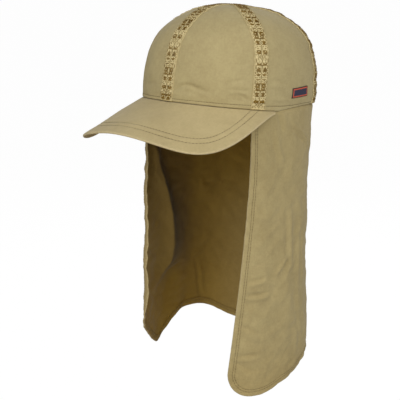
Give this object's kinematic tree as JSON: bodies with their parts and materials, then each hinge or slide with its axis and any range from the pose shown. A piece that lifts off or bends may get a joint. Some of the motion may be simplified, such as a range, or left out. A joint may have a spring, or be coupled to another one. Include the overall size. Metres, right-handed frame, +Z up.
{
  "type": "legionnaire cap",
  "caption": "Khaki cotton sun cap with a panelled crown, patterned woven tapes over its seams, a curved stiff peak and a long neck flap with rounded front corners.",
  "frame": {"origin": "middle of the head opening, at the height of the middle of the crown's lower edge, as worn", "axes": "+Z up, -Y forwards over the peak, +X to the wearer's left, in millimetres in the source and metres here"},
  "size_m": [0.195, 0.2813, 0.4112],
  "materials": {
    "cotton_twill": "matt khaki cotton cloth with a fine weave and tone-on-tone stitching",
    "woven_tape": "straw-coloured woven tape with small brown blocks in two columns",
    "label_weave": "bare dark blue woven label with a thin red border"
  },
  "bodies": {
    "root": {"panel_front_left": "cotton_twill", "panel_side_left": "cotton_twill", "panel_back_left": "cotton_twill", "panel_back_right": "cotton_twill", "panel_side_right": "cotton_twill", "panel_front_right": "cotton_twill", "tape_front": "woven_tape", "tape_side_left": "woven_tape", "tape_rear_left": "woven_tape", "tape_back": "woven_tape", "tape_rear_right": "woven_tape", "tape_side_right": "woven_tape", "peak": "cotton_twill", "neck_flap": "cotton_twill", "side_label": "label_weave"}
  },
  "joints": []
}
